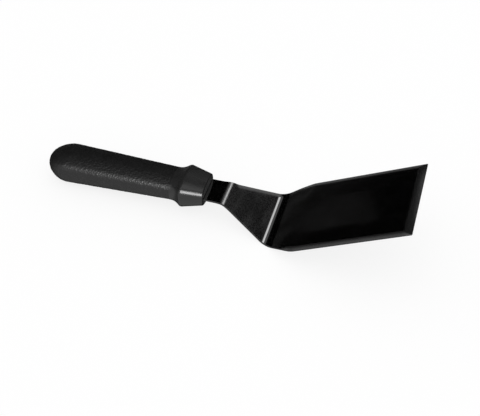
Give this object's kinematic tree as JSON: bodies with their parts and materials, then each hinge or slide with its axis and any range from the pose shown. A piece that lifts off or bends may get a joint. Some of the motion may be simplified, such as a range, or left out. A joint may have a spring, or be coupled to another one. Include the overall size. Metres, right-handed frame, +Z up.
{
  "type": "offset turner",
  "caption": "Offset spatula: a flat square-ended steel blade, a cranked riser and a straight textured grip with a smooth flared collar.",
  "frame": {"origin": "on the table, under the middle of the tool as it rests on the heel of its blade and on the underside of its butt", "axes": "+X from the handle to the tip of the blade, +Y to the blade's left, +Z up from the table"},
  "size_m": [0.2882, 0.0762, 0.054],
  "materials": {
    "steel": "stainless sheet, polished to a mirror on the blade and satin brushed on the riser",
    "collar_plastic": "smooth black polypropylene with a soft gloss",
    "grip_plastic": "black moulded plastic with a fine pebble grain"
  },
  "bodies": {
    "root": {"blade": "steel", "handle_core": "collar_plastic", "grip": "grip_plastic"}
  },
  "joints": []
}
